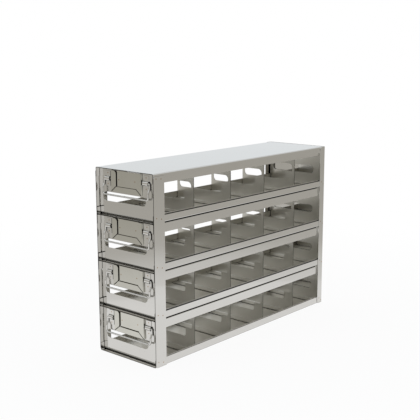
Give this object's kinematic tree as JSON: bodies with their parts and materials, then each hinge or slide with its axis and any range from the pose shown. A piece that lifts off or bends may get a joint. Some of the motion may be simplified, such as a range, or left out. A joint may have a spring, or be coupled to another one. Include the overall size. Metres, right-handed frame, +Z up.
{
  "type": "freezer storage rack",
  "caption": "Upright-freezer rack: open-sided folded stainless housing with stacked sliding drawers, each with slotted dividers, a label holder and a drop bail handle.",
  "frame": {"origin": "bottom centre of the rack's bounding box, on the surface that it stands on", "axes": "+Z up, drawers pull out towards -Y, +Y towards the closed back, +X to the right seen from the front"},
  "size_m": [0.14, 0.4976, 0.33],
  "materials": {
    "housing_sheet": "cold-rolled stainless sheet, dull mill finish",
    "drawer_sheet": "cold-rolled stainless sheet, dull mill finish",
    "label_holder_sheet": "cold-rolled stainless sheet, dull mill finish",
    "clip_strap": "pressed stainless strap, semi-bright",
    "handle_wire": "drawn stainless wire, semi-bright"
  },
  "bodies": {
    "housing": {"back_panel": "housing_sheet", "base_tray": "housing_sheet", "front_post_left": "housing_sheet", "front_post_right": "housing_sheet", "guide_channel_1": "housing_sheet", "guide_channel_2": "housing_sheet", "guide_channel_3": "housing_sheet", "shelf_tray_1": "housing_sheet", "shelf_tray_2": "housing_sheet", "shelf_tray_3": "housing_sheet", "top_panel": "housing_sheet"},
    "drawer_1": {"drawer_1_clip_left": "clip_strap", "drawer_1_clip_right": "clip_strap", "drawer_1_divider_1": "drawer_sheet", "drawer_1_divider_2": "drawer_sheet", "drawer_1_divider_3": "drawer_sheet", "drawer_1_divider_4": "drawer_sheet", "drawer_1_front": "drawer_sheet", "drawer_1_label_holder": "label_holder_sheet", "drawer_1_rear_wall": "drawer_sheet", "drawer_1_tray": "drawer_sheet"},
    "drawer_1_handle": {"drawer_1_bail": "handle_wire"},
    "drawer_2": {"drawer_2_clip_left": "clip_strap", "drawer_2_clip_right": "clip_strap", "drawer_2_divider_1": "drawer_sheet", "drawer_2_divider_2": "drawer_sheet", "drawer_2_divider_3": "drawer_sheet", "drawer_2_divider_4": "drawer_sheet", "drawer_2_front": "drawer_sheet", "drawer_2_label_holder": "label_holder_sheet", "drawer_2_rear_wall": "drawer_sheet", "drawer_2_tray": "drawer_sheet"},
    "drawer_2_handle": {"drawer_2_bail": "handle_wire"},
    "drawer_3": {"drawer_3_clip_left": "clip_strap", "drawer_3_clip_right": "clip_strap", "drawer_3_divider_1": "drawer_sheet", "drawer_3_divider_2": "drawer_sheet", "drawer_3_divider_3": "drawer_sheet", "drawer_3_divider_4": "drawer_sheet", "drawer_3_front": "drawer_sheet", "drawer_3_label_holder": "label_holder_sheet", "drawer_3_rear_wall": "drawer_sheet", "drawer_3_tray": "drawer_sheet"},
    "drawer_3_handle": {"drawer_3_bail": "handle_wire"},
    "drawer_4": {"drawer_4_clip_left": "clip_strap", "drawer_4_clip_right": "clip_strap", "drawer_4_divider_1": "drawer_sheet", "drawer_4_divider_2": "drawer_sheet", "drawer_4_divider_3": "drawer_sheet", "drawer_4_divider_4": "drawer_sheet", "drawer_4_front": "drawer_sheet", "drawer_4_label_holder": "label_holder_sheet", "drawer_4_rear_wall": "drawer_sheet", "drawer_4_tray": "drawer_sheet"},
    "drawer_4_handle": {"drawer_4_bail": "handle_wire"}
  },
  "joints": [
    {"name": "drawer_1_slide", "type": "slide", "parent": "housing", "child": "drawer_1", "axis": [0, -1, 0], "range_m": [0, 0.43]},
    {"name": "drawer_1_handle_hinge", "type": "hinge", "parent": "drawer_1", "child": "drawer_1_handle", "pos_m": [0, -0.2426, 0.3117], "axis": [-1, 0, 0], "range_deg": [0, 130]},
    {"name": "drawer_2_slide", "type": "slide", "parent": "housing", "child": "drawer_2", "axis": [0, -1, 0], "range_m": [0, 0.43]},
    {"name": "drawer_2_handle_hinge", "type": "hinge", "parent": "drawer_2", "child": "drawer_2_handle", "pos_m": [0, -0.2426, 0.2292], "axis": [-1, 0, 0], "range_deg": [0, 130]},
    {"name": "drawer_3_slide", "type": "slide", "parent": "housing", "child": "drawer_3", "axis": [0, -1, 0], "range_m": [0, 0.43]},
    {"name": "drawer_3_handle_hinge", "type": "hinge", "parent": "drawer_3", "child": "drawer_3_handle", "pos_m": [0, -0.2426, 0.1467], "axis": [-1, 0, 0], "range_deg": [0, 130]},
    {"name": "drawer_4_slide", "type": "slide", "parent": "housing", "child": "drawer_4", "axis": [0, -1, 0], "range_m": [0, 0.43]},
    {"name": "drawer_4_handle_hinge", "type": "hinge", "parent": "drawer_4", "child": "drawer_4_handle", "pos_m": [0, -0.2426, 0.0642], "axis": [-1, 0, 0], "range_deg": [0, 130]}
  ]
}
